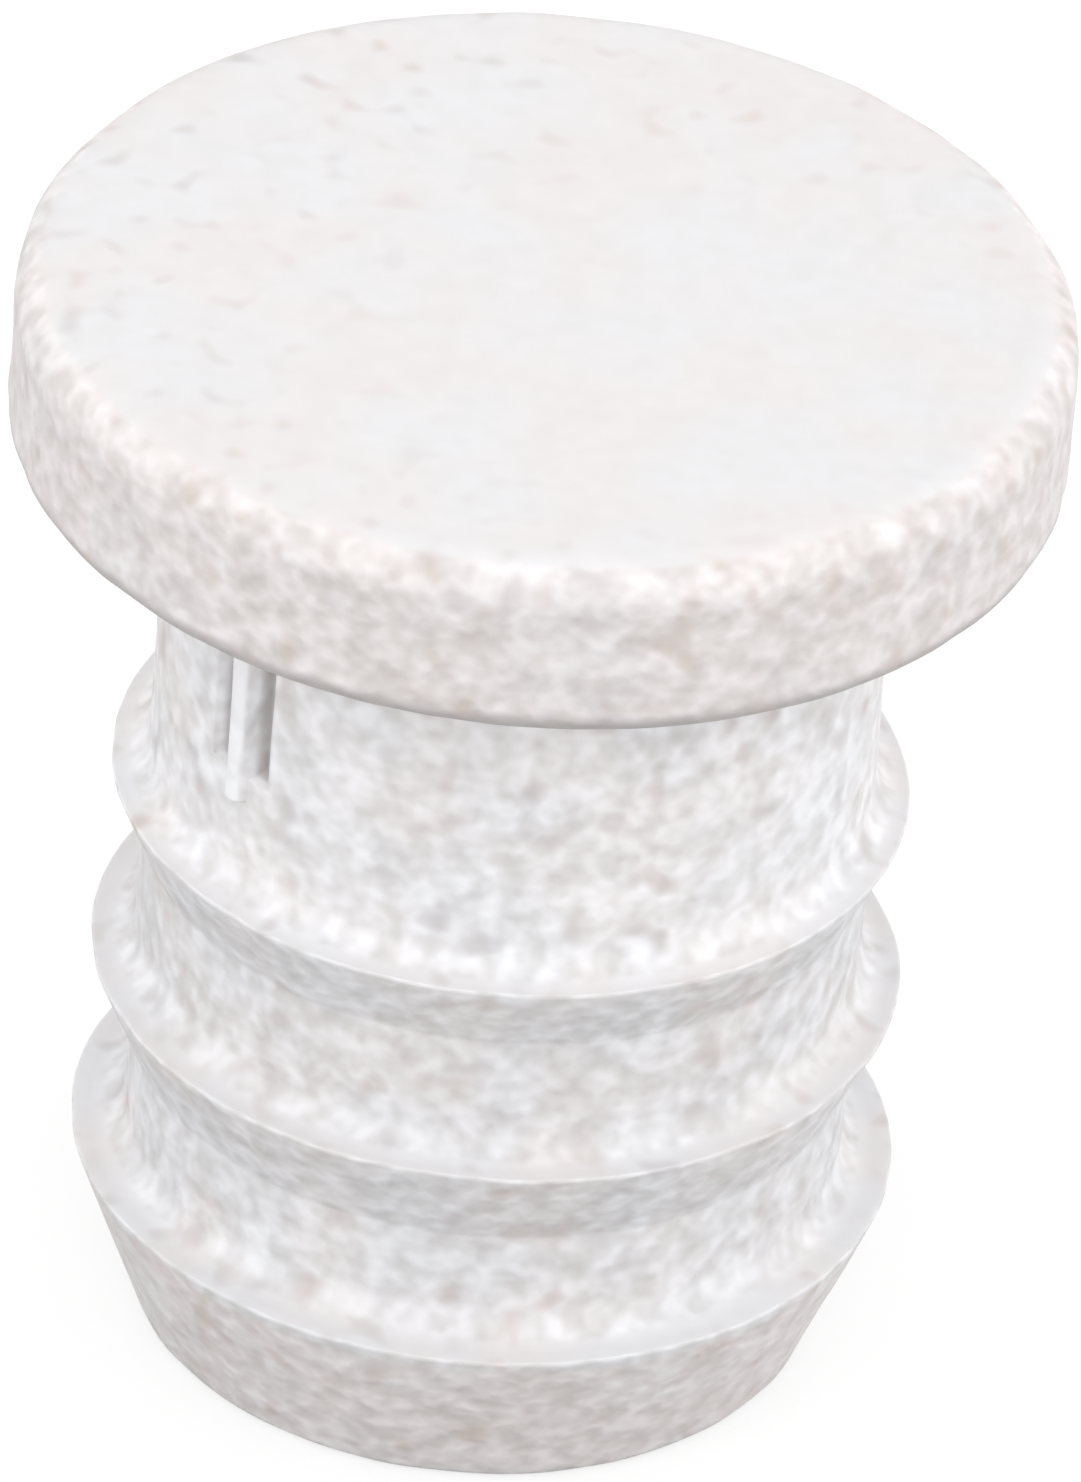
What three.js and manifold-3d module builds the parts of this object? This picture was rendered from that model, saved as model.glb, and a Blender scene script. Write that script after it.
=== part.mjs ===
// Push-in bumper for a cabinet door: one moulding with a round flat head and a barbed stem.
// Millimetres, +Z up. It stands on its flat tip, and the origin is the centre of that tip face.
// The stem is pressed into a drilled hole until the underside of the head meets the door.

import * as THREE from 'three';
import { mergeVertices } from 'three/addons/utils/BufferGeometryUtils.js';
import Module from 'manifold-3d';

// Head
const HEAD_DIAMETER = 11;
const HEAD_THICKNESS = 1.95;
const HEAD_TOP_RADIUS = 0.45;
const HEAD_LOWER_RADIUS = 0.25;

// Stem root, the round core that the barbs stand on
const ROOT_DIAMETER = 7.6;
const NECK_FILLET = 0.15;

// Barbs: a flat shelf faces the head, and a taper below the lip faces the tip
const BARB_COUNT = 3;
const BARB_HEIGHT = 0.37;
const BARB_GROWTH = 0.08;
const FIRST_SHELF_DEPTH = 4.2;
const BARB_PITCH = 2.25;
const LIP_LAND = 0.12;
const SHELF_FILLET = 0.25;
const SHELF_FILLET_LIMIT = 0.8;
const TAPER_ANGLE = THREE.MathUtils.degToRad(30);

// Nose, a slower taper from the last barb's lip down to the flat tip
const NOSE_LENGTH = 1.8;
const NOSE_ANGLE = THREE.MathUtils.degToRad(23);
const TIP_EDGE_RADIUS = 0.12;
const GATE_DIAMETER = 1.6;
const GATE_DEPTH = 0.25;

// A slim rib on each side of the neck, on the parting line, between two narrow relief slots
const RIB_COUNT = 2;
const RIB_ANGLE = THREE.MathUtils.degToRad(222.5);
const RIB_WIDTH = 0.3;
const RIB_PROUD = 0.12;
const RIB_LENGTH = 3;
const SLOT_WIDTH = 0.26;
const SLOT_DEPTH = 0.3;
const SLOT_LENGTH = 2.7;

// Facets round the axis and along the curves
const TURN_FACETS = 96;
const HEAD_ARC_FACETS = 6;
const SMALL_ARC_FACETS = 4;

// How far a cutter or a joined piece runs past the face that it meets
const RUN_PAST = 0.4;

const headRadius = HEAD_DIAMETER / 2;
const rootRadius = ROOT_DIAMETER / 2;
const gateRadius = GATE_DIAMETER / 2;
const lastShelfDepth = FIRST_SHELF_DEPTH + (BARB_COUNT - 1) * BARB_PITCH;
const stemLength = lastShelfDepth + LIP_LAND + NOSE_LENGTH;
const headTop = stemLength + HEAD_THICKNESS;

const wasm = await Module();
wasm.setup();

// Points of a round stretch of the outline, first and last included.
function arc(centreRadius, centreHeight, radius, start, end, facets) {
  const points = [];
  for (let i = 0; i <= facets; i += 1) {
    const angle = THREE.MathUtils.lerp(start, end, i / facets);
    points.push(new THREE.Vector2(
      centreRadius + radius * Math.cos(angle),
      centreHeight + radius * Math.sin(angle),
    ));
  }
  return points;
}

// Lip radius of a barb, counted from the head.
function lipRadius(index) {
  return rootRadius + BARB_HEIGHT + index * BARB_GROWTH;
}

// Height of a barb's shelf above the tip, counted from the head.
function shelfHeight(index) {
  return stemLength - FIRST_SHELF_DEPTH - index * BARB_PITCH;
}

// Outline of the tip: the round gate recess, the flat face and its rounded edge.
function tipOutline() {
  const lip = lipRadius(BARB_COUNT - 1);
  const tipRadius = lip - NOSE_LENGTH * Math.tan(NOSE_ANGLE);
  const edge = TIP_EDGE_RADIUS;
  const edgeCentre = tipRadius - edge * (1 - Math.sin(NOSE_ANGLE)) / Math.cos(NOSE_ANGLE);
  return [
    new THREE.Vector2(0, GATE_DEPTH),
    new THREE.Vector2(gateRadius, GATE_DEPTH),
    new THREE.Vector2(gateRadius, 0),
    ...arc(edgeCentre, edge, edge, -Math.PI / 2, -NOSE_ANGLE, SMALL_ARC_FACETS),
  ];
}

// Radius of the fillet between a barb's shelf and the root, which always leaves some of the shelf flat.
function shelfFillet(index) {
  return Math.min(SHELF_FILLET, SHELF_FILLET_LIMIT * (lipRadius(index) - rootRadius));
}

// Outline of one barb from the foot of its taper up to where its shelf's fillet meets the root.
function barbOutline(index) {
  const lip = lipRadius(index);
  const shelf = shelfHeight(index);
  const fillet = shelfFillet(index);
  const landFoot = shelf - LIP_LAND;
  const points = [
    new THREE.Vector2(lip, landFoot),
    new THREE.Vector2(lip, shelf),
    ...arc(rootRadius + fillet, shelf + fillet, fillet, -Math.PI / 2, -Math.PI, SMALL_ARC_FACETS),
  ];
  if (index === BARB_COUNT - 1) return points;
  const roomBelow = landFoot - shelfHeight(index + 1) - shelfFillet(index + 1);
  const taperLength = Math.min((lip - rootRadius) / Math.tan(TAPER_ANGLE), roomBelow);
  const footRadius = lip - taperLength * Math.tan(TAPER_ANGLE);
  return [new THREE.Vector2(footRadius, landFoot - taperLength), ...points];
}

// Outline of the head with the fillet under it, up to the axis.
function headOutline() {
  const overhang = headRadius - rootRadius;
  const fillet = Math.min(NECK_FILLET, overhang / 2);
  const lower = Math.min(HEAD_LOWER_RADIUS, overhang / 2, HEAD_THICKNESS / 3);
  const upper = Math.min(HEAD_TOP_RADIUS, HEAD_THICKNESS - lower);
  return [
    ...arc(rootRadius + fillet, stemLength - fillet, fillet, Math.PI, Math.PI / 2, SMALL_ARC_FACETS),
    ...arc(headRadius - lower, stemLength + lower, lower, -Math.PI / 2, 0, SMALL_ARC_FACETS),
    ...arc(headRadius - upper, headTop - upper, upper, 0, Math.PI / 2, HEAD_ARC_FACETS),
    new THREE.Vector2(0, headTop),
  ];
}

// The whole turned body: tip, barbs from the tip up, and head, swept once round the axis.
function turnedBody() {
  const outline = tipOutline();
  for (let index = BARB_COUNT - 1; index >= 0; index -= 1) {
    outline.push(...barbOutline(index));
  }
  outline.push(...headOutline());
  return new THREE.LatheGeometry(outline, TURN_FACETS).rotateX(Math.PI / 2);
}

// A prism under the head that stands on the neck at a given angle, from an inner to an outer radius.
// Its end away from the axis is round, with the corners of the other end square.
function neckPrism({ angle, offset, inner, outer, width, bottom, top, roundEnd }) {
  const half = width / 2;
  const shape = new THREE.Shape();
  if (roundEnd === 'outer') {
    shape.moveTo(inner, offset - half);
    shape.absarc(outer - half, offset, half, -Math.PI / 2, Math.PI / 2, false);
    shape.lineTo(inner, offset + half);
  } else {
    shape.moveTo(outer, offset + half);
    shape.absarc(inner + half, offset, half, Math.PI / 2, 3 * Math.PI / 2, false);
    shape.lineTo(outer, offset - half);
  }
  shape.closePath();
  const prism = new THREE.ExtrudeGeometry(shape, {
    depth: top - bottom,
    bevelEnabled: false,
    curveSegments: 2 * SMALL_ARC_FACETS,
  });
  return prism.translate(0, 0, bottom).rotateZ(angle);
}

// The rib at one angle, joined to the neck and to the underside of the head.
function rib(angle) {
  return neckPrism({
    angle,
    offset: 0,
    inner: rootRadius - SLOT_DEPTH - RUN_PAST,
    outer: rootRadius + RIB_PROUD,
    width: RIB_WIDTH,
    bottom: stemLength - RIB_LENGTH,
    top: stemLength + RUN_PAST,
    roundEnd: 'outer',
  });
}

// The relief slot on one side of a rib: side is 1 or -1.
function slot(angle, side) {
  return neckPrism({
    angle,
    offset: side * (RIB_WIDTH + SLOT_WIDTH) / 2,
    inner: rootRadius - SLOT_DEPTH,
    outer: rootRadius + NECK_FILLET + RUN_PAST,
    width: SLOT_WIDTH,
    bottom: stemLength - SLOT_LENGTH,
    top: stemLength,
    roundEnd: 'inner',
  });
}

// A closed solid from a geometry, with its shared corners merged and its collapsed facets left out.
function toSolid(geometry) {
  const bare = geometry.clone();
  bare.deleteAttribute('normal');
  bare.deleteAttribute('uv');
  const merged = mergeVertices(bare, 1e-5);
  const index = merged.index.array;
  const triangles = [];
  for (let i = 0; i < index.length; i += 3) {
    const [a, b, c] = [index[i], index[i + 1], index[i + 2]];
    if (a !== b && b !== c && c !== a) triangles.push(a, b, c);
  }
  return new wasm.Manifold(new wasm.Mesh({
    numProp: 3,
    vertProperties: new Float32Array(merged.attributes.position.array),
    triVerts: new Uint32Array(triangles),
  }));
}

// A geometry with its own normals from a closed solid.
function toGeometry(solid) {
  const mesh = solid.getMesh();
  const geometry = new THREE.BufferGeometry();
  geometry.setAttribute('position', new THREE.BufferAttribute(mesh.vertProperties, mesh.numProp));
  geometry.setIndex(new THREE.BufferAttribute(mesh.triVerts, 1));
  geometry.computeVertexNormals();
  return geometry;
}

// Soft white plastic with a fine matt finish.
function softWhitePlastic() {
  return new THREE.MeshStandardMaterial({ color: 0xf2eeec, roughness: 0.6, metalness: 0 });
}

// The bumper: the turned body with the slots cut beside each rib and the ribs joined on.
function doorBumper() {
  let body = toSolid(turnedBody());
  for (let i = 0; i < RIB_COUNT; i += 1) {
    const angle = RIB_ANGLE + (i * 2 * Math.PI) / RIB_COUNT;
    body = body.subtract(toSolid(slot(angle, 1)));
    body = body.subtract(toSolid(slot(angle, -1)));
    body = body.add(toSolid(rib(angle)));
  }
  const mesh = new THREE.Mesh(toGeometry(body), softWhitePlastic());
  mesh.name = 'door_bumper';
  return mesh;
}

const bumper = new THREE.Group();
bumper.name = 'cabinet_door_bumper';
bumper.add(doorBumper());

export default bumper;
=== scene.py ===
"""Looks of a push-in cabinet door bumper: one soft white moulding that stands on its tip.

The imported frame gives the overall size. The turned body is swept from its outline by a
Geometry Nodes tree, which also lifts the ribs and sinks the relief slots on the neck.
"""

import logging
import math
from dataclasses import dataclass, field
from enum import Enum

import bpy
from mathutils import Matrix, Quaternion, Vector

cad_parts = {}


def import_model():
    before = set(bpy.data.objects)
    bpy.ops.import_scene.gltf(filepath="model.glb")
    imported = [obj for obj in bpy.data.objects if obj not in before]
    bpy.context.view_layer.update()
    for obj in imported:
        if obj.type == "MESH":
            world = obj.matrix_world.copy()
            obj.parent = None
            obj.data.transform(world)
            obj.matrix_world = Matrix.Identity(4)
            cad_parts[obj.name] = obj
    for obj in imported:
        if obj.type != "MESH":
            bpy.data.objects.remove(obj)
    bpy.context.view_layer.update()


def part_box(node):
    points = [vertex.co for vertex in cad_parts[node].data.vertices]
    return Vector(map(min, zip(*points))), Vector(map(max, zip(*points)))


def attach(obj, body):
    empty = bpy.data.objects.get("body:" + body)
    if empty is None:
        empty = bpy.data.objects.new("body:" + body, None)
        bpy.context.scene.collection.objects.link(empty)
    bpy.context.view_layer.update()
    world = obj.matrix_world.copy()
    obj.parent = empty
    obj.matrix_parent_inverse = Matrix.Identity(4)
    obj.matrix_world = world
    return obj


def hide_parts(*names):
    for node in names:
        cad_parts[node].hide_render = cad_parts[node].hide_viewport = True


MM = 0.001
NODE_NAME = "door_bumper"
BODY_NAME = "root"
ROW_ATTRIBUTE = "neck_row"
WHITE = (1.0, 1.0, 1.0)

# How much lower than the solids' top the piece ends, so that rounding can't push it past their box
BOX_CLEARANCE = 0.0002 * MM

# Places of the colour sockets on a Mix node
MIX_FIRST = 6
MIX_SECOND = 7
MIX_RESULT = 2

Socket = bpy.types.NodeSocket
log = logging.getLogger("door_bumper")


class MathOp(Enum):
    """Arithmetic that the node trees use, by the node's own operation names."""

    ADD = "ADD"
    SUBTRACT = "SUBTRACT"
    MULTIPLY = "MULTIPLY"
    DIVIDE = "DIVIDE"
    MAXIMUM = "MAXIMUM"
    ABSOLUTE = "ABSOLUTE"
    ROOT = "SQRT"
    SINE = "SINE"
    COSINE = "COSINE"
    WRAP = "WRAP"


class RowKind(Enum):
    """Where a row of the outline lies, as the weight that the neck's ribs and slots take there."""

    PLAIN = 0.0
    NECK = 1.0


class TreeWriter:
    """Adds nodes and links to a node tree in a few short calls."""

    def __init__(self, tree: bpy.types.NodeTree) -> None:
        """Keeps the tree.

        Args:
            tree: The node tree to write to.
        """
        self.tree = tree

    def node(self, kind: str, **settings: object) -> bpy.types.Node:
        """Adds a node.

        Args:
            kind: The node's type name.
            settings: Properties to set on the node.

        Returns:
            The new node.
        """
        made = self.tree.nodes.new(kind)
        for name, value in settings.items():
            setattr(made, name, value)
        return made

    def feed(self, socket: Socket, source: object) -> None:
        """Links a socket to another, or sets its value.

        Args:
            socket: The input socket.
            source: An output socket, or a plain value.
        """
        if isinstance(source, Socket):
            self.tree.links.new(source, socket)
        else:
            socket.default_value = source

    def math(self, operation: MathOp, *values: object) -> Socket:
        """Adds a math node.

        Args:
            operation: What it does.
            values: Its inputs, as sockets or numbers.

        Returns:
            The result's socket.
        """
        made = self.node("ShaderNodeMath", operation=operation.value)
        for socket, value in zip(made.inputs, values):
            self.feed(socket, value)
        return made.outputs[0]

    def ease(self, value: object, start: object, end: object,
             low: float = 0.0, high: float = 1.0) -> Socket:
        """Eases smoothly from low to high while a value goes from start to end.

        Args:
            value: The value that is followed.
            start: Where the change begins.
            end: Where it ends.
            low: The result before start.
            high: The result after end.

        Returns:
            The eased result's socket.
        """
        made = self.node("ShaderNodeMapRange", interpolation_type="SMOOTHSTEP")
        for socket, source in zip(made.inputs, (value, start, end, low, high)):
            self.feed(socket, source)
        return made.outputs[0]

    def ease_near(self, value: object, mark: float, reach: tuple[float, float],
                  low: float = 0.0, high: float = 1.0) -> Socket:
        """Eases smoothly from low to high between two places that are counted from a mark.

        Args:
            value: The value that is followed.
            mark: The value at the mark.
            reach: Where the change begins and ends, as differences from the mark.
            low: The result before the change.
            high: The result after it.

        Returns:
            The eased result's socket.
        """
        return self.ease(value, mark + reach[0], mark + reach[1], low, high)

    def times(self, *values: object) -> Socket:
        """Multiplies two or more values.

        Args:
            values: The values, as sockets or numbers.

        Returns:
            The product's socket.
        """
        product = values[0]
        for value in values[1:]:
            product = self.math(MathOp.MULTIPLY, product, value)
        return product


@dataclass(frozen=True)
class Landmarks:
    """Heights and radii of the moulding that its finish follows, in metres."""

    nose_top: float
    first_shelf: float
    neck_top: float
    root_radius: float
    head_radius: float


@dataclass(frozen=True)
class Zones:
    """How far a point lies in each zone of the moulding, as sockets of a material's tree."""

    # Neck painted lighter than the rest of the moulding.
    neck: Socket
    # Painted highlight on the ribs' crests.
    rib: Socket
    # Painted shade in the neck's slots and under the head's rim.
    painted_shade: Socket
    # Warm tint on the head and nose, cooler on the stem: painted colour of the light.
    warmth: Socket


@dataclass(frozen=True)
class MouldedFinish:
    """Soft off-white plastic from a spark-worn mould: matt, speckled, mottled and a little translucent.

    A range or blend gives the two values between which something comes in. The blends are
    counted from a landmark of the moulding. Light and shade are partly painted into its colour:
    painted shade in the neck's slots, under the head's rim and partly in the grain's pits, a
    painted highlight on the ribs' crests, the neck painted lighter than the rest, and a warm tint
    on the head's and nose's sides against a cooler stem for the colour of the light.
    """

    light_colour: tuple[float, float, float] = (0.95, 0.945, 0.95)
    dark_colour: tuple[float, float, float] = (0.66, 0.637, 0.618)
    # Warm head and nose, cooler stem: painted colour of the light that falls on them.
    head_tint: tuple[float, float, float] = (1.0, 0.955, 0.952)
    stem_tint: tuple[float, float, float] = (0.975, 0.988, 1.012)
    stem_warmth: float = 0.3
    flat_face_warmth: float = 0.3
    # Painted light: everything off the neck is darkened by this share, so the neck shows lighter.
    off_neck_painted_shade: float = 0.89

    flat_face_range: tuple[float, float] = (0.99, 0.8)
    flat_face_share: float = 0.12
    fine_grain: float = 0.15 * MM
    fine_lift: float = 0.012 * MM
    grain_size: float = 0.27 * MM
    grain_lift: float = 0.06 * MM
    grain_range: tuple[float, float] = (0.1, 0.9)
    grain_middle: float = 0.5
    light_share: float = 0.61
    mottle_size: float = 1.3 * MM
    mottle_range: tuple[float, float] = (0.35, 0.65)
    mottle_swing: float = 0.3
    noise_detail: float = 1.0
    noise_roughness: float = 0.5

    warm_speck: tuple[float, float, float] = (0.56, 0.48, 0.43)
    cool_speck: tuple[float, float, float] = (0.53, 0.52, 0.56)
    speck_size: float = 0.36 * MM
    speck_range: tuple[float, float] = (0.42, 0.08)
    speck_share: float = 0.65
    speck_warmth: float = 0.3
    clean_spot: tuple[float, float, float] = (1.5 * MM, -1.2 * MM, 12.5 * MM)
    wear_range: tuple[float, float] = (1.5 * MM, 7.0 * MM)

    refraction: float = 1.5
    specular_level: float = 0.4
    gloss_range: tuple[float, float] = (0.3, 0.7)
    roughness_low: float = 0.45
    roughness_high: float = 0.6
    translucence: float = 0.2
    translucence_depth: float = 0.4 * MM
    translucence_reach: tuple[float, float, float] = (1.0, 0.92, 0.88)

    # Painted shade: its colour, and how much of it lies in the neck's slots and under the head's rim.
    painted_shade_colour: tuple[float, float, float] = (0.47, 0.44, 0.43)
    slot_painted_shade: float = 0.6
    under_head_painted_shade: float = 0.85
    nose_blend: tuple[float, float] = (0.0, -0.2 * MM)
    neck_foot_blend: tuple[float, float] = (-0.23 * MM, 0.17 * MM)
    neck_top_blend: tuple[float, float] = (-0.2 * MM, 0.3 * MM)
    above_shelf_blend: tuple[float, float] = (0.77 * MM, 0.97 * MM)
    slot_blend: tuple[float, float] = (-0.08 * MM, -0.22 * MM)
    # Where the painted highlight on the ribs' crests comes in.
    rib_highlight_blend: tuple[float, float] = (0.02 * MM, 0.08 * MM)
    # Where the painted shade on the lower rounding of the head's rim comes in.
    low_edge_blend: tuple[float, float] = (0.32 * MM, 0.13 * MM)
    overhang_blend: tuple[float, float] = (-0.4 * MM, -0.25 * MM)

    def noise(self, write: TreeWriter, place: Socket, size: float, detail: float = 0.0) -> Socket:
        """Adds a cloud pattern.

        Args:
            write: The writer of the material's tree.
            place: Where the pattern is read.
            size: The size of its patches, in metres.
            detail: How many finer layers it has.

        Returns:
            The pattern's value socket.
        """
        made = write.node("ShaderNodeTexNoise")
        write.feed(made.inputs["Vector"], place)
        write.feed(made.inputs["Scale"], 1.0 / size)
        write.feed(made.inputs["Detail"], detail)
        write.feed(made.inputs["Roughness"], self.noise_roughness)
        return made.outputs[0]

    def mix(self, write: TreeWriter, share: object, first: object, second: object,
            blend: str = "MIX") -> Socket:
        """Mixes two colours.

        Args:
            write: The writer of the material's tree.
            share: How much of the second colour shows.
            first: The first colour, as a socket or a value.
            second: The second colour, as a socket or a value.
            blend: How the two are put together.

        Returns:
            The mixed colour's socket.
        """
        made = write.node("ShaderNodeMix", data_type="RGBA", blend_type=blend)
        write.feed(made.inputs["Factor"], share)
        for place, colour in ((MIX_FIRST, first), (MIX_SECOND, second)):
            is_socket = isinstance(colour, Socket)
            write.feed(made.inputs[place], colour if is_socket else (*colour, 1.0))
        return made.outputs[MIX_RESULT]

    def lift(self, write: TreeWriter, height: Socket, distance: float,
             strength: Socket, normal: object = None) -> Socket:
        """Adds a bump.

        Args:
            write: The writer of the material's tree.
            height: The pattern that stands up.
            distance: How far it stands up, in metres.
            strength: How much of it shows.
            normal: The bump below it, if any.

        Returns:
            The bumped normal's socket.
        """
        made = write.node("ShaderNodeBump")
        write.feed(made.inputs["Height"], height)
        write.feed(made.inputs["Distance"], distance)
        write.feed(made.inputs["Strength"], strength)
        if normal is not None:
            write.feed(made.inputs["Normal"], normal)
        return made.outputs["Normal"]

    def zones(self, write: TreeWriter, marks: Landmarks, place: Socket, side: Socket) -> Zones:
        """Works out which part of the moulding a point lies on.

        Args:
            write: The writer of the material's tree.
            marks: The moulding's landmarks.
            place: The point on the moulding.
            side: One on the sides, and zero on the flat faces.

        Returns:
            How far the point is in each zone.
        """
        split = write.node("ShaderNodeSeparateXYZ")
        write.feed(split.inputs[0], place)
        x, y, height = split.outputs
        radius = write.math(MathOp.ROOT, write.math(MathOp.ADD, write.times(x, x), write.times(y, y)))

        above_rings = write.ease_near(height, marks.first_shelf, self.neck_foot_blend)
        on_head = write.ease_near(height, marks.neck_top, self.neck_top_blend)
        on_neck = write.math(MathOp.SUBTRACT, above_rings, on_head)
        on_nose = write.ease_near(height, marks.nose_top, self.nose_blend)
        # The rim's share sets the painted warm tint of the light: full on the head's and nose's sides, less
        # on flat faces.
        rim = write.times(write.math(MathOp.ADD, on_head, on_nose),
                          write.ease(side, 0.0, 1.0, self.flat_face_warmth, 1.0))

        clear = write.times(write.ease_near(height, marks.first_shelf, self.above_shelf_blend), on_neck)
        # Painted shade in the relief slots, where the slot's floor lies below the neck's face.
        in_slot = write.ease_near(radius, marks.root_radius, self.slot_blend, 0.0, self.slot_painted_shade)
        # Painted highlight on the ribs' crests.
        painted_rib_highlight = write.ease_near(radius, marks.root_radius, self.rib_highlight_blend)
        # Painted shade on the lower rounding of the head's rim, dark as the shadow gap beneath it.
        under_head_shade = write.ease_near(height, marks.neck_top, self.low_edge_blend, 0.0, self.under_head_painted_shade)
        under_head_shade = write.times(under_head_shade, write.ease_near(radius, marks.head_radius, self.overhang_blend))
        return Zones(
            neck=on_neck,
            rib=write.times(painted_rib_highlight, clear),
            painted_shade=write.math(MathOp.MAXIMUM, write.times(in_slot, clear), under_head_shade),
            warmth=write.ease(rim, 0.0, 1.0, self.stem_warmth, 1.0),
        )

    def wear(self, write: TreeWriter, place: Socket, side: Socket) -> Socket:
        """Works out how speckled the plastic is, from none at the head's clean spot to all on the sides.

        Args:
            write: The writer of the material's tree.
            place: The point on the moulding.
            side: One on the sides, and zero on the flat faces.

        Returns:
            The share's socket.
        """
        gap = write.node("ShaderNodeVectorMath", operation="DISTANCE")
        write.feed(gap.inputs[0], place)
        write.feed(gap.inputs[1], self.clean_spot)
        return write.math(MathOp.MAXIMUM, write.ease(gap.outputs["Value"], *self.wear_range), side)

    def plain_tint(self, write: TreeWriter, zones: Zones, shade: Socket, warmth: Socket) -> Socket:
        """Adds the plastic's colour without its specks.

        Args:
            write: The writer of the material's tree.
            zones: How far the point is in each zone.
            shade: Zero where the grain is dark, and one where it is light.
            warmth: Zero for the stem's tint, and one for the head's.

        Returns:
            The colour's socket.
        """
        # The neck is painted lighter: everything off it is darkened.
        away = (self.off_neck_painted_shade,) * 3
        tint = self.mix(write, shade, self.dark_colour, self.light_colour)
        # Multiplies in the painted warm and cool tints of the light, and the darkening off the neck that
        # paints the neck lighter.
        for share, first, second in ((warmth, self.stem_tint, self.head_tint), (zones.neck, away, WHITE)):
            tint = self.mix(write, 1.0, tint, self.mix(write, share, first, second), "MULTIPLY")
        # Mixes in the painted shade of the slots and of the head's rim.
        return self.mix(write, zones.painted_shade, tint, self.painted_shade_colour)

    def build(self, marks: Landmarks) -> bpy.types.Material:
        """Makes the material.

        Args:
            marks: The moulding's landmarks.

        Returns:
            The finished material.
        """
        material = bpy.data.materials.new("soft_white_moulding")
        material.use_nodes = True
        write = TreeWriter(material.node_tree)
        shader = material.node_tree.nodes["Principled BSDF"]
        write.feed(shader.inputs["IOR"], self.refraction)
        write.feed(shader.inputs["Specular IOR Level"], self.specular_level)
        write.feed(shader.inputs["Subsurface Weight"], self.translucence)
        write.feed(shader.inputs["Subsurface Radius"], self.translucence_reach)
        write.feed(shader.inputs["Subsurface Scale"], self.translucence_depth)

        coordinates = write.node("ShaderNodeTexCoord")
        place = coordinates.outputs["Object"]
        fine = self.noise(write, place, self.fine_grain, self.noise_detail)
        grain = self.noise(write, place, self.grain_size, self.noise_detail)
        mottle = self.noise(write, place, self.mottle_size, self.noise_detail)
        specks = self.noise(write, place, self.speck_size)
        facing = write.node("ShaderNodeSeparateXYZ")
        write.feed(facing.inputs[0], coordinates.outputs["Normal"])
        side = write.ease(write.math(MathOp.ABSOLUTE, facing.outputs["Z"]), *self.flat_face_range)
        strength = write.ease(side, 0.0, 1.0, self.flat_face_share, 1.0)
        zones = self.zones(write, marks, place, side)

        # The grain's dark colour lies in the bump's pits: partly the plastic's own mottle, partly painted
        # shade in the pits.
        shade = write.math(MathOp.SUBTRACT, write.ease(grain, *self.grain_range), self.grain_middle)
        shade = write.math(MathOp.ADD, write.times(shade, strength), self.light_share)
        # Painted highlight: the ribs' crests take the light colour, without grain.
        shade = write.math(MathOp.MAXIMUM, shade, zones.rib)
        swing = write.ease(mottle, *self.mottle_range, -self.mottle_swing, self.mottle_swing)
        # The painted warm tint of the light, swung at random by the mottle.
        warmth = write.math(MathOp.ADD, zones.warmth, swing)
        tint = self.plain_tint(write, zones, shade, warmth)

        speckled = write.times(write.ease(specks, *self.speck_range, 0.0, self.speck_share),
                               self.wear(write, place, side))
        speck_warmth = write.math(MathOp.ADD, warmth, self.speck_warmth)
        speck = self.mix(write, speck_warmth, self.cool_speck, self.warm_speck)
        write.feed(shader.inputs["Base Color"], self.mix(write, speckled, tint, speck))

        roughness = write.ease(grain, *self.gloss_range, self.roughness_low, self.roughness_high)
        write.feed(shader.inputs["Roughness"], roughness)
        under = self.lift(write, grain, self.grain_lift, strength)
        write.feed(shader.inputs["Normal"], self.lift(write, fine, self.fine_lift, strength, under))
        return material


@dataclass(frozen=True)
class FloorFinish:
    """Plain pale floor that the camera sees as near white, with the object's shadow.

    It throws back less light on the object than a floor of that colour would.
    """

    seen_colour: tuple[float, float, float] = (0.94, 0.94, 0.94)
    bounce_colour: tuple[float, float, float] = (0.4, 0.4, 0.4)
    lifted_share: float = 0.68
    lifted_strength: float = 1.04

    def build(self) -> bpy.types.Material:
        """Makes the material.

        Returns:
            The finished material.
        """
        material = bpy.data.materials.new("pale_floor")
        material.use_nodes = True
        tree = material.node_tree
        tree.nodes.clear()
        write = TreeWriter(tree)
        seen_side = write.node("ShaderNodeBsdfDiffuse")
        write.feed(seen_side.inputs["Color"], (*self.seen_colour, 1.0))
        bounce_side = write.node("ShaderNodeBsdfDiffuse")
        write.feed(bounce_side.inputs["Color"], (*self.bounce_colour, 1.0))
        white = write.node("ShaderNodeEmission")
        write.feed(white.inputs["Strength"], self.lifted_strength)
        lifted = write.node("ShaderNodeMixShader")
        write.feed(lifted.inputs[0], self.lifted_share)
        write.feed(lifted.inputs[1], seen_side.outputs[0])
        write.feed(lifted.inputs[2], white.outputs[0])
        path = write.node("ShaderNodeLightPath")
        seen = write.math(MathOp.MAXIMUM, path.outputs["Is Camera Ray"], path.outputs["Is Glossy Ray"])
        seen = write.math(MathOp.MAXIMUM, seen, path.outputs["Is Transmission Ray"])
        chosen = write.node("ShaderNodeMixShader")
        write.feed(chosen.inputs[0], seen)
        write.feed(chosen.inputs[1], bounce_side.outputs[0])
        write.feed(chosen.inputs[2], lifted.outputs[0])
        out = write.node("ShaderNodeOutputMaterial")
        write.feed(out.inputs["Surface"], chosen.outputs[0])
        return material


@dataclass(frozen=True)
class Corner:
    """One corner of the turned outline, which is rounded by an arc."""

    radius: float
    height: float
    rounding: float = 0.0
    facets: int = 4

    def point(self) -> Vector:
        """Returns the corner's place as radius and height."""
        return Vector((self.radius, self.height))


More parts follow.
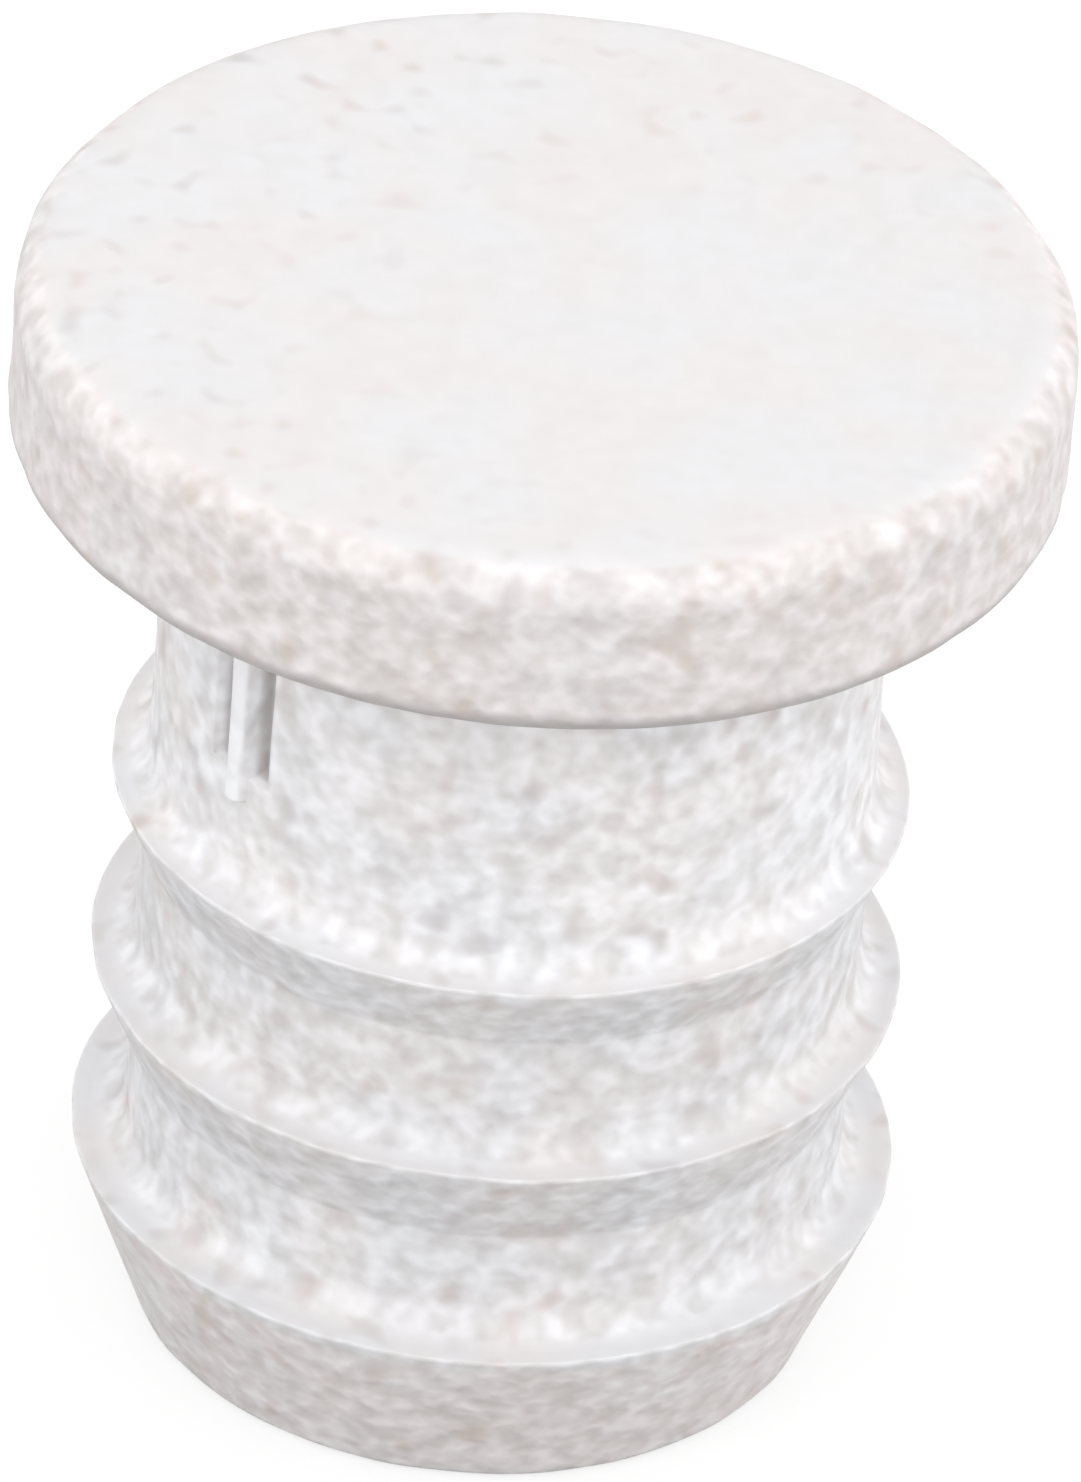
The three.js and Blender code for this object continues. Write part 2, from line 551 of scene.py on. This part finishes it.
@dataclass
class TurnedOutline:
    """Half section of the bumper, from the axis at the tip round to the axis at the head's top, in metres."""

    head_radius: float
    height: float
    head_thickness: float = 1.95 * MM
    head_top_rounding: float = 0.45 * MM
    head_lower_rounding: float = 0.25 * MM
    root_radius: float = 3.8 * MM
    neck_fillet: float = 0.15 * MM
    barb_count: int = 3
    barb_height: float = 0.37 * MM
    barb_growth: float = 0.08 * MM
    first_shelf_depth: float = 4.09 * MM
    barb_pitch: float = 2.27 * MM
    lip_land: float = 0.04 * MM
    taper_angle: float = math.radians(24)
    nose_angle: float = math.radians(21.3)
    tip_edge_rounding: float = 0.12 * MM
    gate_radius: float = 0.8 * MM
    gate_depth: float = 0.25 * MM
    lip_rounding: float = 0.018 * MM
    shelf_fillet: float = 0.34 * MM
    taper_fillet: float = 0.12 * MM
    small_arc_facets: int = 6
    shelf_arc_facets: int = 8
    head_top_facets: int = 14
    row_spacing: float = 0.3 * MM
    support_gap: float = 0.03 * MM
    neck_top_margin: float = 0.0045 * MM

    @property
    def underside(self) -> float:
        """Height of the head's underside."""
        return self.height - self.head_thickness

    @property
    def nose_top(self) -> float:
        """Height of the lowest lip's foot, where the nose begins."""
        return self.shelf_height(self.barb_count - 1) - self.lip_land

    def lip_radius(self, index: int) -> float:
        """Returns a barb's lip radius, counted from the head."""
        return self.root_radius + self.barb_height + index * self.barb_growth

    def shelf_height(self, index: int) -> float:
        """Returns the height of a barb's shelf, counted from the head."""
        return self.underside - self.first_shelf_depth - index * self.barb_pitch

    def tip_corners(self) -> list[Corner]:
        """Returns the corners of the gate recess and the flat tip."""
        last_lip = self.lip_radius(self.barb_count - 1)
        tip_radius = last_lip - self.nose_top * math.tan(self.nose_angle)
        return [
            Corner(0.0, self.gate_depth),
            Corner(self.gate_radius, self.gate_depth, self.lip_rounding),
            Corner(self.gate_radius, 0.0, self.lip_rounding),
            Corner(tip_radius, 0.0, self.tip_edge_rounding, self.small_arc_facets),
        ]

    def barb_corners(self, index: int) -> list[Corner]:
        """Returns the corners of one barb from its foot up, counted from the head."""
        lip, shelf = self.lip_radius(index), self.shelf_height(index)
        foot = shelf - self.lip_land
        corners = [
            Corner(lip, foot, self.lip_rounding),
            Corner(lip, shelf, self.lip_rounding),
            Corner(self.root_radius, shelf, self.shelf_fillet, self.shelf_arc_facets),
        ]
        if index < self.barb_count - 1:
            taper = (lip - self.root_radius) / math.tan(self.taper_angle)
            corners.insert(0, Corner(self.root_radius, foot - taper, self.taper_fillet))
        return corners

    def head_corners(self) -> list[Corner]:
        """Returns the corners of the neck's top and the head."""
        return [
            Corner(self.root_radius, self.underside, self.neck_fillet, self.small_arc_facets),
            Corner(self.head_radius, self.underside, self.head_lower_rounding, self.small_arc_facets),
            Corner(self.head_radius, self.height, self.head_top_rounding, self.head_top_facets),
            Corner(0.0, self.height),
        ]

    def rounded(self, before: Corner, corner: Corner, after: Corner) -> list[Vector]:
        """Rounds a corner with an arc.

        Args:
            before: The corner before it.
            corner: The corner to round.
            after: The corner after it.

        Returns:
            The arc's points, or the corner itself where it has no rounding.
        """
        if corner.rounding <= 0.0:
            return [corner.point()]
        back = (before.point() - corner.point()).normalized()
        ahead = (after.point() - corner.point()).normalized()
        half = back.angle(ahead) / 2
        reach = corner.rounding / math.tan(half)
        centre = corner.point() + (back + ahead).normalized() * corner.rounding / math.sin(half)
        start = corner.point() + back * reach - centre
        end = corner.point() + ahead * reach - centre
        turn = start.angle_signed(end)
        points = []
        for step in range(corner.facets + 1):
            angle = -turn * step / corner.facets
            cosine, sine = math.cos(angle), math.sin(angle)
            points.append(centre + Vector((
                start.x * cosine - start.y * sine,
                start.x * sine + start.y * cosine,
            )))
        return points

    def straight(self, start: Vector, end: Vector) -> list[Vector]:
        """Divides a straight stretch, with a row close to each of its ends.

        Args:
            start: Its first point.
            end: Its last point.

        Returns:
            The points between the two.
        """
        length = (end - start).length
        if length < 3 * self.support_gap:
            return []
        steps = max(1, math.ceil(length / self.row_spacing))
        shares = [step / steps for step in range(1, steps)]
        near = self.support_gap / length
        shares = [near] + [share for share in shares if 2 * near < share < 1 - 2 * near] + [1 - near]
        return [start.lerp(end, share) for share in shares]

    def rows(self) -> list[tuple[Vector, RowKind]]:
        """Works out the whole outline.

        Returns:
            Its points from the tip's centre to the head's centre, each with its kind.
        """
        corners = self.tip_corners()
        for index in reversed(range(self.barb_count)):
            corners += self.barb_corners(index)
        corners += self.head_corners()
        points: list[Vector] = []
        for index, corner in enumerate(corners):
            if 0 < index < len(corners) - 1:
                stretch = self.rounded(corners[index - 1], corner, corners[index + 1])
            else:
                stretch = [corner.point()]
            if points:
                points += self.straight(points[-1], stretch[0])
            points += stretch
        neck_reach = self.root_radius + self.neck_fillet
        neck_foot = self.shelf_height(0) + self.shelf_fillet
        neck_top = self.underside - self.neck_top_margin
        rows = []
        for point in points:
            on_neck = neck_foot < point.y < neck_top and point.x < neck_reach
            rows.append((point, RowKind.NECK if on_neck else RowKind.PLAIN))
        return rows

    def landmarks(self) -> Landmarks:
        """Returns the heights and radii that the finish follows."""
        return Landmarks(
            nose_top=self.nose_top,
            first_shelf=self.shelf_height(0),
            neck_top=self.underside,
            root_radius=self.root_radius,
            head_radius=self.head_radius,
        )


@dataclass
class PartingRibs:
    """Slim ribs on the neck's parting line, each between two narrow relief slots, in metres."""

    count: int = 2
    bearing: float = math.radians(222.5)
    rib_width: float = 0.3 * MM
    rib_proud: float = 0.12 * MM
    rib_length: float = 3.0 * MM
    slot_width: float = 0.26 * MM
    slot_depth: float = 0.3 * MM
    slot_length: float = 2.7 * MM
    softness: float = 0.02 * MM

    def lift(self, write: TreeWriter, inputs: dict[str, Socket], arc_gap: Socket, height: Socket) -> Socket:
        """Adds the nodes that say how far the neck's face stands out at a point.

        Args:
            write: The writer of the body's tree.
            inputs: The tree's named inputs.
            arc_gap: Distance round the neck from the nearest rib's middle.
            height: The point's height.

        Returns:
            The lift's socket, below zero in a slot.
        """
        soft = inputs["Softness"]
        half = write.times(inputs["Rib Width"], 0.5)
        slot_edge = write.math(MathOp.ADD, half, inputs["Slot Width"])
        outside_rib = write.ease(arc_gap, write.math(MathOp.SUBTRACT, half, soft), half)
        in_rib = write.math(MathOp.SUBTRACT, 1.0, outside_rib)
        past_slot = write.ease(arc_gap, slot_edge, write.math(MathOp.ADD, slot_edge, soft))
        in_slot = write.times(outside_rib, write.math(MathOp.SUBTRACT, 1.0, past_slot))

        room = write.math(MathOp.SUBTRACT, write.times(half, half), write.times(arc_gap, arc_gap))
        crest = write.math(MathOp.ROOT, write.math(MathOp.MAXIMUM, room, 0.0))
        crest = write.math(MathOp.ADD, crest, write.math(MathOp.SUBTRACT, inputs["Rib Proud"], half))
        along_rib, along_slot = (write.ease(height, inputs[foot], write.math(MathOp.ADD, inputs[foot], soft))
                                 for foot in ("Rib Foot", "Slot Foot"))
        rib = write.times(in_rib, along_rib, crest)
        slot = write.times(in_slot, along_slot, inputs["Slot Depth"])
        return write.math(MathOp.SUBTRACT, rib, slot)


@dataclass
class BumperBody:
    """The whole moulding: the outline swept round the axis, with the parting ribs on its neck."""

    outline: TurnedOutline
    ribs: PartingRibs = field(default_factory=PartingRibs)
    finish: MouldedFinish = field(default_factory=MouldedFinish)
    columns: int = 320
    crowding: float = 0.8
    waver: float = 0.03 * MM
    waver_size: float = 1.1 * MM
    waver_detail: float = 1.0
    waver_range: tuple[float, float] = (0.35, 0.75)
    foot_steps: tuple[float, ...] = (-1.0, 0.0, 0.5, 1.0, 2.0)
    merge_gap: float = 0.00001 * MM

    def outline_object(self) -> bpy.types.Object:
        """Makes a mesh of loose points, one for each row of the outline.

        Returns:
            The object that holds them, with the row's kind as an attribute.
        """
        rows = self.with_foot_rows()
        mesh = bpy.data.meshes.new("bumper_outline")
        mesh.from_pydata([(point.x, 0.0, max(point.y, 0.0)) for point, _ in rows], [], [])
        weight = mesh.attributes.new(ROW_ATTRIBUTE, "FLOAT", "POINT")
        for item, (_, kind) in zip(weight.data, rows):
            item.value = kind.value
        made = bpy.data.objects.new("bumper_body", mesh)
        bpy.context.scene.collection.objects.link(made)
        return made

    def with_foot_rows(self) -> list[tuple[Vector, RowKind]]:
        """Adds rows at the feet of the ribs and slots, where the neck's face steps.

        Returns:
            The outline's rows in order.
        """
        rows = self.outline.rows()
        for length in (self.ribs.rib_length, self.ribs.slot_length):
            foot = self.outline.underside - length
            for step in self.foot_steps:
                height = foot + step * self.ribs.softness
                at = next(i for i, (point, kind) in enumerate(rows)
                          if kind is RowKind.NECK and point.y > height)
                rows.insert(at, (Vector((self.outline.root_radius, height)), RowKind.NECK))
        return rows

    def tree_inputs(self, tree: bpy.types.NodeTree) -> dict[str, Socket]:
        """Args:
            tree: The body's node tree.

        Returns:
            The input sockets by name.
        """
        kinds = {"Outline": "NodeSocketGeometry", "Columns": "NodeSocketInt", "Finish": "NodeSocketMaterial"}
        for name in ("Outline", *self.values()):
            tree.interface.new_socket(name, in_out="INPUT", socket_type=kinds.get(name, "NodeSocketFloat"))
        tree.interface.new_socket("Body", in_out="OUTPUT", socket_type="NodeSocketGeometry")
        entry = tree.nodes.new("NodeGroupInput")
        return {socket.name: socket for socket in entry.outputs if socket.name}

    def values(self) -> dict[str, object]:
        """Returns the value of each named input, in metres and radians. The finish is filled in later."""
        return {
            "Columns": self.columns,
            "Crowding": self.crowding,
            "Rib Bearing": self.ribs.bearing,
            "Rib Width": self.ribs.rib_width,
            "Rib Proud": self.ribs.rib_proud,
            "Rib Foot": self.outline.underside - self.ribs.rib_length,
            "Slot Width": self.ribs.slot_width,
            "Slot Depth": self.ribs.slot_depth,
            "Slot Foot": self.outline.underside - self.ribs.slot_length,
            "Softness": self.ribs.softness,
            "Waver": self.waver,
            "Waver Size": self.waver_size,
            "Merge Gap": self.merge_gap,
            "Finish": None,
        }

    def sample_row(self, write: TreeWriter, outline: Socket, row: Socket,
                   value: Socket, data_type: str) -> Socket:
        """Adds a node that reads a value from the outline's row.

        Args:
            write: The writer of the body's tree.
            outline: The outline's geometry.
            row: Which row to read.
            value: What to read there.
            data_type: The kind of value.

        Returns:
            The socket of the value read.
        """
        made = write.node("GeometryNodeSampleIndex", data_type=data_type, domain="POINT")
        write.feed(made.inputs["Geometry"], outline)
        write.feed(made.inputs["Value"], value)
        write.feed(made.inputs["Index"], row)
        return made.outputs[0]

    def section_at(self, write: TreeWriter, outline: Socket, rows: Socket,
                   share_along: Socket) -> tuple[Socket, ...]:
        """Adds the nodes that read the outline at a point of the grid.

        Args:
            write: The writer of the body's tree.
            outline: The outline's geometry.
            rows: How many rows it has.
            share_along: The point's place along the outline, from zero to one.

        Returns:
            The sockets of the row's radius, of its height and of its weight for the neck.
        """
        number = write.node("FunctionNodeFloatToInt", rounding_mode="ROUND")
        last_row = write.math(MathOp.SUBTRACT, rows, 1.0)
        write.feed(number.inputs[0], write.times(share_along, last_row))
        row = number.outputs[0]
        position = write.node("GeometryNodeInputPosition").outputs[0]
        section = write.node("ShaderNodeSeparateXYZ")
        write.feed(section.inputs[0], self.sample_row(write, outline, row, position, "FLOAT_VECTOR"))
        named = write.node("GeometryNodeInputNamedAttribute", data_type="FLOAT")
        write.feed(named.inputs["Name"], ROW_ATTRIBUTE)
        weight = self.sample_row(write, outline, row, named.outputs[0], "FLOAT")
        return section.outputs["X"], section.outputs["Z"], weight

    def bearing_from_rib(self, write: TreeWriter, inputs: dict[str, Socket], share_round: Socket) -> Socket:
        """Adds the nodes that spread the columns round the axis, closer together near the ribs.

        Args:
            write: The writer of the body's tree.
            inputs: The tree's named inputs.
            share_round: The point's place across the grid, from zero to one.

        Returns:
            The socket of its bearing from the first rib.
        """
        even = write.times(share_round, math.tau)
        swing = write.math(MathOp.SINE, write.times(even, float(self.ribs.count)))
        swing = write.times(swing, write.times(inputs["Crowding"], 1.0 / self.ribs.count))
        return write.math(MathOp.SUBTRACT, even, swing)

    def build_tree(self) -> bpy.types.NodeTree:
        """Writes the tree that sweeps the outline and shapes the neck.

        Returns:
            The finished tree.
        """
        tree = bpy.data.node_groups.new("turned_bumper", "GeometryNodeTree")
        write = TreeWriter(tree)
        inputs = self.tree_inputs(tree)
        count = write.node("GeometryNodeAttributeDomainSize", component="MESH")
        write.feed(count.inputs["Geometry"], inputs["Outline"])
        rows = count.outputs["Point Count"]
        grid = write.node("GeometryNodeMeshGrid")
        write.feed(grid.inputs["Size X"], 1.0)
        write.feed(grid.inputs["Size Y"], 1.0)
        write.feed(grid.inputs["Vertices X"], write.math(MathOp.ADD, inputs["Columns"], 1.0))
        write.feed(grid.inputs["Vertices Y"], rows)

        place = write.node("ShaderNodeSeparateXYZ")
        write.feed(place.inputs[0], write.node("GeometryNodeInputPosition").outputs[0])
        share_round = write.math(MathOp.ADD, place.outputs["X"], 0.5)
        share_along = write.math(MathOp.ADD, place.outputs["Y"], 0.5)
        radius, height, weight = self.section_at(write, inputs["Outline"], rows, share_along)
        from_rib = self.bearing_from_rib(write, inputs, share_round)
        half_way = math.pi / self.ribs.count
        nearest = write.math(MathOp.WRAP, from_rib, half_way, -half_way)
        arc_gap = write.times(write.math(MathOp.ABSOLUTE, nearest), radius)
        lift = self.ribs.lift(write, inputs, arc_gap, height)
        stood_out = write.math(MathOp.ADD, radius, write.times(lift, weight))

        bearing = write.math(MathOp.ADD, from_rib, inputs["Rib Bearing"])
        turned = write.node("ShaderNodeCombineXYZ")
        write.feed(turned.inputs["X"], write.times(write.math(MathOp.COSINE, bearing), stood_out))
        write.feed(turned.inputs["Y"], write.times(write.math(MathOp.SINE, bearing), stood_out))
        write.feed(turned.inputs["Z"], height)
        swept = write.node("GeometryNodeSetPosition")
        write.feed(swept.inputs["Geometry"], grid.outputs["Mesh"])
        write.feed(swept.inputs["Position"], turned.outputs[0])
        drawn_in = self.wavered(write, inputs, swept.outputs[0])
        out = write.node("NodeGroupOutput")
        write.feed(out.inputs["Body"], self.coated(write, inputs, drawn_in))
        return tree

    def wavered(self, write: TreeWriter, inputs: dict[str, Socket], body: Socket) -> Socket:
        """Draws the round faces in by a slight, uneven amount, as soft plastic shrinks in its mould.

        Args:
            write: The writer of the body's tree.
            inputs: The tree's named inputs.
            body: The swept body.

        Returns:
            The body with its round faces drawn in.
        """
        position = write.node("GeometryNodeInputPosition").outputs[0]
        cloud = write.node("ShaderNodeTexNoise")
        write.feed(cloud.inputs["Vector"], position)
        write.feed(cloud.inputs["Scale"], write.math(MathOp.DIVIDE, 1.0, inputs["Waver Size"]))
        write.feed(cloud.inputs["Detail"], self.waver_detail)
        drawn = write.times(write.ease(cloud.outputs[0], *self.waver_range), inputs["Waver"])
        share = write.math(MathOp.DIVIDE, drawn, self.outline.head_radius)
        kept = write.math(MathOp.SUBTRACT, 1.0, share)
        place = write.node("ShaderNodeSeparateXYZ")
        write.feed(place.inputs[0], position)
        inward = write.node("ShaderNodeCombineXYZ")
        write.feed(inward.inputs["X"], write.times(place.outputs["X"], kept))
        write.feed(inward.inputs["Y"], write.times(place.outputs["Y"], kept))
        write.feed(inward.inputs["Z"], place.outputs["Z"])
        moved = write.node("GeometryNodeSetPosition")
        write.feed(moved.inputs["Geometry"], body)
        write.feed(moved.inputs["Position"], inward.outputs[0])
        return moved.outputs[0]

    def coated(self, write: TreeWriter, inputs: dict[str, Socket], body: Socket) -> Socket:
        """Closes the sweep's seam and ends, shades it smooth and gives it its finish.

        Args:
            write: The writer of the body's tree.
            inputs: The tree's named inputs.
            body: The swept body.

        Returns:
            The finished body.
        """
        merged = write.node("GeometryNodeMergeByDistance")
        write.feed(merged.inputs["Geometry"], body)
        write.feed(merged.inputs["Distance"], inputs["Merge Gap"])
        smooth = write.node("GeometryNodeSetShadeSmooth")
        write.feed(smooth.inputs["Geometry"], merged.outputs[0])
        realised = write.node("GeometryNodeRealizeInstances")
        write.feed(realised.inputs["Geometry"], smooth.outputs[0])
        coated = write.node("GeometryNodeSetMaterial")
        write.feed(coated.inputs["Geometry"], realised.outputs[0])
        write.feed(coated.inputs["Material"], inputs["Finish"])
        return coated.outputs[0]

    def build(self) -> bpy.types.Object:
        """Makes the moulding as one plain mesh.

        Returns:
            The finished piece.
        """
        body = self.outline_object()
        modifier = body.modifiers.new("turned", "NODES")
        modifier.node_group = self.build_tree()
        values = self.values()
        values["Finish"] = self.finish.build(self.outline.landmarks())
        for item in modifier.node_group.interface.items_tree:
            if item.in_out == "INPUT" and item.name in values:
                modifier[item.identifier] = values[item.name]
        evaluated = body.evaluated_get(bpy.context.evaluated_depsgraph_get())
        mesh = bpy.data.meshes.new_from_object(evaluated)
        mesh.name = "bumper_body"
        body.modifiers.clear()
        body.data = mesh
        self.face_outwards(mesh)
        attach(body, BODY_NAME)
        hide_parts(NODE_NAME)
        return body

    def face_outwards(self, mesh: bpy.types.Mesh) -> None:
        """Turns the whole closed mesh's faces outwards if its volume comes out below zero.

        Args:
            mesh: The closed mesh.
        """
        mesh.calc_loop_triangles()
        corners = mesh.vertices
        volume = 0.0
        for triangle in mesh.loop_triangles:
            a, b, c = (corners[index].co for index in triangle.vertices)
            volume += a.dot(b.cross(c)) / 6
        if volume < 0:
            mesh.flip_normals()


@dataclass(frozen=True)
class SoftLamp:
    """A large square lamp that points at the object, placed by its bearing from the camera's side."""

    name: str
    power: float
    bearing_deg: float
    rise_deg: float
    size: float = 0.12
    distance: float = 0.25
    mirrored: bool = True

    def place(self, aim: Vector) -> Vector:
        """Works out where the lamp stands.

        Args:
            aim: What it points at.

        Returns:
            Its place.
        """
        bearing, rise = math.radians(self.bearing_deg), math.radians(self.rise_deg)
        level = math.cos(rise)
        way = Vector((math.sin(bearing) * level, -math.cos(bearing) * level, math.sin(rise)))
        return aim + way * self.distance

    def build(self, aim: Vector) -> bpy.types.Object:
        """Makes the lamp.

        Args:
            aim: What it points at.

        Returns:
            The lamp's object.
        """
        data = bpy.data.lights.new(self.name, "AREA")
        data.energy = self.power
        data.size = self.size
        lamp = bpy.data.objects.new(self.name, data)
        lamp.location = self.place(aim)
        lamp.visible_glossy = self.mirrored
        lamp.rotation_mode = "QUATERNION"
        lamp.rotation_quaternion = (aim - lamp.location).to_track_quat("-Z", "Y")
        bpy.context.scene.collection.objects.link(lamp)
        return lamp


@dataclass
class Studio:
    """Plain pale floor, white surroundings and soft lamps."""

    floor_reach: float = 2.0
    floor_gap: float = 0.01 * MM
    world_strength: float = 1.04
    shown_strength: float = 1.0
    lamps: tuple[SoftLamp, ...] = (
        SoftLamp("left_front", power=0.1, bearing_deg=-45.0, rise_deg=25.0),
        SoftLamp("front", power=0.09, bearing_deg=0.0, rise_deg=35.0),
        SoftLamp("right_side", power=0.25, bearing_deg=90.0, rise_deg=2.0, mirrored=False),
    )
    finish: FloorFinish = field(default_factory=FloorFinish)

    def add_floor(self) -> bpy.types.Object:
        """Makes the floor.

        Returns:
            The floor's object.
        """
        reach = self.floor_reach
        mesh = bpy.data.meshes.new("floor")
        corners = [(-reach, -reach), (reach, -reach), (reach, reach), (-reach, reach)]
        mesh.from_pydata([(x, y, -self.floor_gap) for x, y in corners], [], [(0, 1, 2, 3)])
        mesh.materials.append(self.finish.build())
        floor = bpy.data.objects.new("floor", mesh)
        bpy.context.scene.collection.objects.link(floor)
        return floor

    def add_world(self) -> None:
        """Surrounds the object with even white light, and shows white behind it."""
        world = bpy.data.worlds.new("white_room")
        world.use_nodes = True
        tree = world.node_tree
        tree.nodes.clear()
        write = TreeWriter(tree)
        path = write.node("ShaderNodeLightPath")
        chosen = write.node("ShaderNodeMixShader")
        write.feed(chosen.inputs[0], path.outputs["Is Camera Ray"])
        for socket, strength in zip(chosen.inputs[1:], (self.world_strength, self.shown_strength)):
            white = write.node("ShaderNodeBackground")
            write.feed(white.inputs["Strength"], strength)
            write.feed(white.inputs["Color"], (*WHITE, 1.0))
            write.feed(socket, white.outputs[0])
        out = write.node("ShaderNodeOutputWorld")
        write.feed(out.inputs["Surface"], chosen.outputs[0])
        bpy.context.scene.world = world

    def build(self, aim: Vector) -> None:
        """Sets up the floor, the surroundings and the lamps.

        Args:
            aim: The middle of the object.
        """
        self.add_floor()
        self.add_world()
        for lamp in self.lamps:
            lamp.build(aim)


@dataclass
class ViewCamera:
    """Camera at the picture's viewing angle, through a long lens."""

    elevation: float = math.radians(33.9)
    roll: float = math.radians(4.7)
    lens_mm: float = 600.0
    sensor_mm: float = 36.0
    image_height: int = 1482
    pixels_per_mm: float = 96.0
    aim_below_underside: float = 3.75 * MM
    aim_aside: float = 0.286 * MM
    near_clip: float = 0.01
    far_clip: float = 10.0

    def build(self, underside: float) -> bpy.types.Object:
        """Makes the camera and gives it to the scene.

        Args:
            underside: Height of the head's underside.

        Returns:
            The camera's object.
        """
        data = bpy.data.cameras.new("view")
        data.lens = self.lens_mm
        data.sensor_width = self.sensor_mm
        data.clip_start = self.near_clip
        data.clip_end = self.far_clip
        camera = bpy.data.objects.new("view", data)
        back = Vector((0.0, -math.cos(self.elevation), math.sin(self.elevation)))
        upright = (-back).to_track_quat("-Z", "Y")
        turn = upright @ Quaternion((0.0, 0.0, 1.0), self.roll)
        lens_pixels = self.lens_mm / self.sensor_mm * self.image_height
        distance = lens_pixels / self.pixels_per_mm * MM
        aside = turn @ Vector((self.aim_aside, 0.0, 0.0))
        aim = Vector((0.0, 0.0, underside - self.aim_below_underside))
        camera.location = aim + aside + back * distance
        camera.rotation_mode = "QUATERNION"
        camera.rotation_quaternion = turn
        bpy.context.scene.collection.objects.link(camera)
        bpy.context.scene.camera = camera
        return camera


def main() -> None:
    """Loads the frame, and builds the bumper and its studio."""
    logging.basicConfig(level=logging.INFO, format="%(name)s: %(message)s")
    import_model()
    low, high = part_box(NODE_NAME)
    outline = TurnedOutline(head_radius=(high[0] - low[0]) / 2, height=high[2] - low[2] - BOX_CLEARANCE)
    body = BumperBody(outline).build()
    log.info("%s has %d faces", body.name, len(body.data.polygons))
    Studio().build(Vector((0.0, 0.0, outline.height / 2)))
    log.info("studio is set")
    ViewCamera().build(outline.underside)
    log.info("camera is set")
    bpy.context.scene.view_settings.view_transform = "Standard"
    log.info("boxes are written")


if __name__ == "__main__":
    main()
